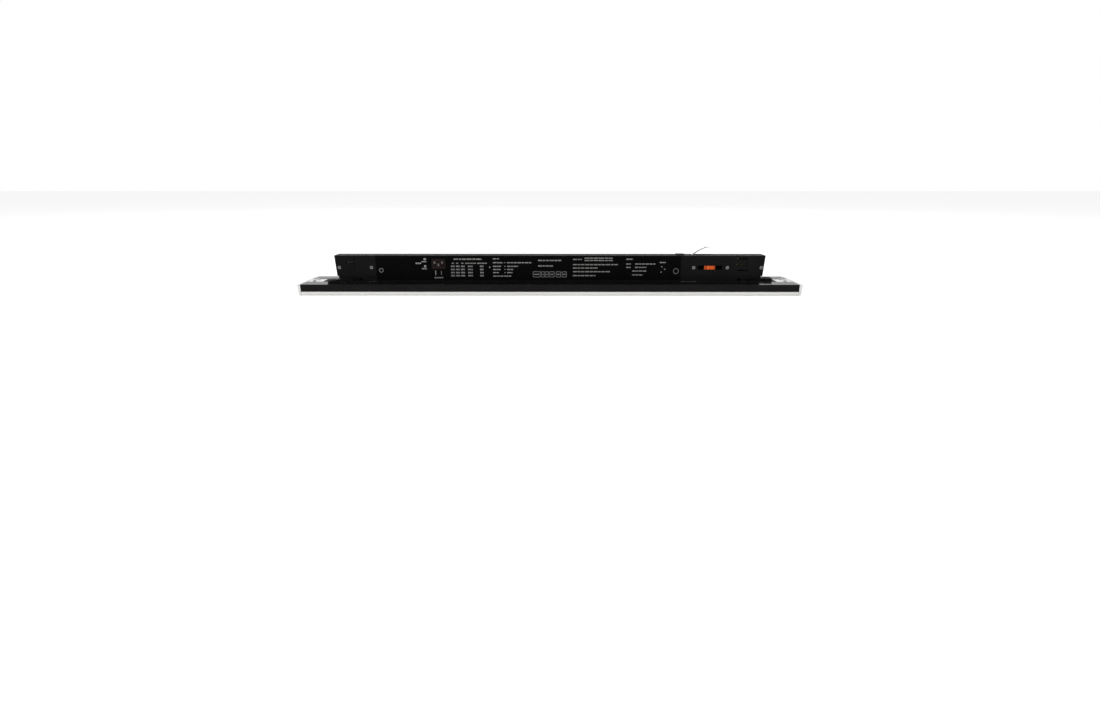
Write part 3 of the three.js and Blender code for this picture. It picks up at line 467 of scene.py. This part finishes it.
# Middle block: two wide rows of bars with four rows below.
ink.words(238.2, 249.0, 24.4, 1.3, 4.2, 0.8)
ink.words(252.0, 286.0, 26.0, 1.3, 5.2, 0.7)
ink.words(252.0, 286.0, 23.2, 1.3, 5.2, 0.7)
for v, end in ((18.2, 292.3), (14.1, 268.5), (9.7, 283.4), (4.9, 265.7)):
    ink.words(238.2, end, v, 1.3, 4.2, 0.8)

# Right block: rows of bars and three dots.
ink.words(302.6, 310.4, 24.7, 1.4, 3.4, 0.6)
ink.words(302.6, 308.2, 19.0, 1.3, 2.6, 0.6)
ink.words(302.6, 308.2, 14.9, 1.3, 2.6, 0.6)
for v, start, end in (
    (19.0, 313.3, 337.6),
    (14.9, 313.3, 326.9),
    (10.5, 310.1, 327.8),
    (5.8, 310.1, 323.1),
):
    ink.words(start, end, v, 1.3, 3.6, 0.7)
ink.words(342.9, 350.2, 20.8, 1.3, 2.4, 0.5)
for u, v in ((345.6, 15.7), (349.2, 12.6), (345.2, 9.2)):
    ink.dot(u, v, 0.8)
mesh_piece("label_print", ink.bm, "housing", print_white)


def ring(bm, x, z, outer, inner, y0, y1, sides=24):
    """A closed flat ring facing -Y."""
    turns = [2 * math.pi * i / sides for i in range(sides)]
    loops = []
    for radius, y in ((outer, y0), (inner, y0), (inner, y1), (outer, y1)):
        points = [(x + radius * math.cos(t), y, z + radius * math.sin(t)) for t in turns]
        loops.append([bm.verts.new(point) for point in points])
    for a, b in zip(loops, loops[1:] + loops[:1]):
        for i in range(sides):
            j = (i + 1) % sides
            bm.faces.new((a[i], a[j], b[j], b[i]))


# Plain rings near the two ends of the label.
RING_LINE = 0.6
signs = bmesh.new()
for u, v, radius in ((363.0, 10.4, 3.4), (5.6, 11.2, 2.6)):
    x = label_low.x + u * MM
    z = label_low.z + v * MM
    inner = (radius - RING_LINE) * MM
    ring(signs, x, z, radius * MM, inner, label_face - INK, label_face + INK / 2)
mesh_piece("label_signs", signs, "housing", print_white)

# -------------------------------------------------------------------------- tubular rivets

# Near-black discs close the rivet bores: painted shade standing in for the dark inside of each hollow.
rivet_shade = moulded("rivet_hollow_shade", (0.01, 0.01, 0.01), (0.02, 0.02, 0.02))
RIVET_RIM = 0.12 * MM
RIM_SHARE = 0.86
HOLLOW_SHARE = 0.42
for index in range(1, 6):
    low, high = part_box(f"head_rivet_{index}")
    x = (low.x + high.x) / 2
    z = (low.z + high.z) / 2
    radius = (high.x - low.x) / 2
    for end, face in (("front", low.y), ("rear", high.y)):
        outward = -1 if end == "front" else 1
        proud, sunk = face + outward * RIVET_RIM, face - outward * RIVET_RIM
        rim = bmesh.new()
        ring(rim, x, z, RIM_SHARE * radius, HOLLOW_SHARE * radius, proud, sunk)
        rim_name = f"rivet_rim_{end}_{index}"
        mesh_piece(rim_name, rim, "housing", finishes["rivet_steel"])
        # Painted shade: a dark disc in the ring's middle, where the bore lies in shadow.
        hollow = bmesh.new()
        add_disc(hollow, x, z, HOLLOW_SHARE * radius, face + outward * 0.3 * RIVET_RIM, sunk)
        mesh_piece(f"rivet_hollow_shade_{end}_{index}", hollow, "housing", rivet_shade)

# ------------------------------------------------------------------------------- lever grips

GRIP_RIB = 0.35 * MM
GRIP_PITCH = 1.7 * MM
GRIP_MARGIN = 1.6 * MM
GRIP_HALF_LENGTH = 5.2 * MM
LEVER_THICKNESS = 3.0 * MM


def grip_ribs(name, body, pivot, angle, reach, count=5):
    """Low ribs across a lever's finger pad, on top and below."""
    bm = bmesh.new()
    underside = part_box(name)[0].z
    for i in range(count):
        along = reach - GRIP_MARGIN - i * GRIP_PITCH
        for z in (underside, underside + LEVER_THICKNESS):
            add_bar(
                bm,
                (along - GRIP_RIB, along + GRIP_RIB),
                (-GRIP_HALF_LENGTH, GRIP_HALF_LENGTH),
                (z - GRIP_RIB, z + GRIP_RIB),
            )
    bm.transform(Matrix.Translation(pivot) @ Matrix.Rotation(angle, 4, "Z"))
    mesh_piece(f"{name}_grip_ribs", bm, body, finishes["lever_black"])


joints = {joint["name"]: joint for joint in frame["joints"]}
latch_pivot = Vector(joints["latch_lever_turn"]["pos_m"])
contact_pivot = Vector(joints["contact_lever_turn"]["pos_m"])
latch_pivot.z = 0
contact_pivot.z = 0
latch_angle = math.pi - math.radians(joints["latch_lever_turn"]["range_deg"][0])
contact_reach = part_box("contact_lever")[1].x - contact_pivot.x
grip_ribs("latch_lever", "latch", latch_pivot, latch_angle, contact_reach)
grip_ribs("contact_lever", "contact_turn", contact_pivot, 0.0, contact_reach)

# ------------------------------------------------------------------------------ painted shade under heads
# A thin dark sheet on the pale plate, under the two heads and their levers: painted shade, where they shadow the
# plate.

plate_low, plate_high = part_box("base_plate")
driver_low, driver_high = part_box("driver_base")
latch_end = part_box("latch_head_front")[0].x
contact_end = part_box("contact_head_front")[1].x
SHADE_SHEET_HALF_THICKNESS = 0.25 * MM
SHADE_SHEET_REACH = 17 * MM
SHADE_SHEET_EDGE = 0.2 * MM
for name, x in (
    ("painted_shade_left", (latch_end - SHADE_SHEET_REACH, driver_low.x)),
    ("painted_shade_right", (driver_high.x, contact_end + SHADE_SHEET_REACH)),
):
    bm = bmesh.new()
    add_bar(
        bm,
        x,
        (plate_low.y + SHADE_SHEET_EDGE, plate_high.y - SHADE_SHEET_EDGE),
        (plate_high.z - SHADE_SHEET_HALF_THICKNESS, plate_high.z + SHADE_SHEET_HALF_THICKNESS),
    )
    shade_sheet = mesh_piece(name, bm, "housing", finishes["grommet_rubber"])
    soften(shade_sheet, 0.2)

# Darkened steel for the latch lug, which shows in its window: painted shade, as the lug sits in shadow there.
shaded_lug_steel = drawn_metal("latch_lug_shaded_steel", (0.02, 0.02, 0.021), (0.045, 0.045, 0.046))
nodes["latch_lug"].data.materials.clear()
nodes["latch_lug"].data.materials.append(shaded_lug_steel)

# --------------------------------------------------------------------------- floor and light

FLOOR_HALF = 6
FLOOR_GAP = 0.2 * MM
bm = bmesh.new()
bmesh.ops.create_grid(bm, x_segments=1, y_segments=1, size=FLOOR_HALF)
floor_mesh = bpy.data.meshes.new("floor")
bm.to_mesh(floor_mesh)
bm.free()
floor = bpy.data.objects.new("floor", floor_mesh)
bpy.context.scene.collection.objects.link(floor)
floor.location.z = cad_box[0][2] - FLOOR_GAP


def seen_white(tree, plain, bright):
    """Mixes in a plain white where the camera, or a gloss or glass, looks at the surroundings."""
    path = tree.nodes.new("ShaderNodeLightPath")
    greatest = tree.nodes.new("ShaderNodeMath")
    greatest.operation = "MAXIMUM"
    tree.links.new(path.outputs["Is Camera Ray"], greatest.inputs[0])
    tree.links.new(path.outputs["Is Glossy Ray"], greatest.inputs[1])
    every = tree.nodes.new("ShaderNodeMath")
    every.operation = "MAXIMUM"
    tree.links.new(greatest.outputs[0], every.inputs[0])
    tree.links.new(path.outputs["Is Transmission Ray"], every.inputs[1])
    mix = tree.nodes.new("ShaderNodeMixShader")
    tree.links.new(every.outputs[0], mix.inputs["Fac"])
    tree.links.new(plain, mix.inputs[1])
    tree.links.new(bright, mix.inputs[2])
    return mix


floor_material = bpy.data.materials.new("floor_paper")
floor_material.use_nodes = True
tree = floor_material.node_tree
tree.nodes.clear()
paper = tree.nodes.new("ShaderNodeBsdfDiffuse")
paper.inputs["Color"].default_value = (0.85, 0.85, 0.85, 1)
lift = tree.nodes.new("ShaderNodeEmission")
lift.inputs["Strength"].default_value = 0.55
lifted = tree.nodes.new("ShaderNodeAddShader")
tree.links.new(paper.outputs["BSDF"], lifted.inputs[0])
tree.links.new(lift.outputs["Emission"], lifted.inputs[1])
mixed = seen_white(tree, paper.outputs["BSDF"], lifted.outputs["Shader"])
surface = tree.nodes.new("ShaderNodeOutputMaterial")
tree.links.new(mixed.outputs["Shader"], surface.inputs["Surface"])
floor_mesh.materials.append(floor_material)

world = bpy.data.worlds.new("studio")
bpy.context.scene.world = world
world.use_nodes = True
tree = world.node_tree
tree.nodes.clear()
skies = []
for strength in (0.44, 1.0):
    sky = tree.nodes.new("ShaderNodeBackground")
    sky.inputs["Color"].default_value = (1, 1, 1, 1)
    sky.inputs["Strength"].default_value = strength
    skies.append(sky.outputs["Background"])
mixed = seen_white(tree, *skies)
surface = tree.nodes.new("ShaderNodeOutputWorld")
tree.links.new(mixed.outputs["Shader"], surface.inputs["Surface"])


def area_light(name, place, target, size, power):
    """A soft rectangular lamp that faces a point."""
    lamp = bpy.data.lights.new(name, "AREA")
    lamp.shape = "RECTANGLE"
    lamp.size, lamp.size_y = size
    lamp.energy = power
    holder = bpy.data.objects.new(name, lamp)
    holder.location = place
    holder.rotation_euler = (Vector(target) - Vector(place)).to_track_quat("-Z", "Y").to_euler()
    bpy.context.scene.collection.objects.link(holder)


MIDDLE = (0, 0, 0.03)
area_light("key", (-0.9, -1.1, 1.5), MIDDLE, (1.2, 0.8), 14)
area_light("fill", (1.3, -1.2, 0.9), MIDDLE, (1.2, 0.8), 6)
area_light("back", (0.0, 1.4, 1.2), MIDDLE, (1.6, 0.6), 8)

# ------------------------------------------------------------------------------------ camera

PLACE = Vector((2.7, -744.6, 134.3)) * MM
PITCH = math.radians(16.71)
YAW = math.radians(0.18)
LENS = 19.83

camera_data = bpy.data.cameras.new("camera")
camera = bpy.data.objects.new("camera", camera_data)
bpy.context.scene.collection.objects.link(camera)
ahead = Vector(
    (-math.sin(YAW) * math.cos(PITCH), math.cos(YAW) * math.cos(PITCH), -math.sin(PITCH))
)
camera.location = PLACE
camera.rotation_euler = ahead.to_track_quat("-Z", "Y").to_euler()
camera_data.lens = LENS
camera_data.sensor_width = 36
camera_data.clip_start = 0.01
camera_data.clip_end = 50
bpy.context.scene.camera = camera
bpy.context.scene.view_settings.view_transform = "Standard"
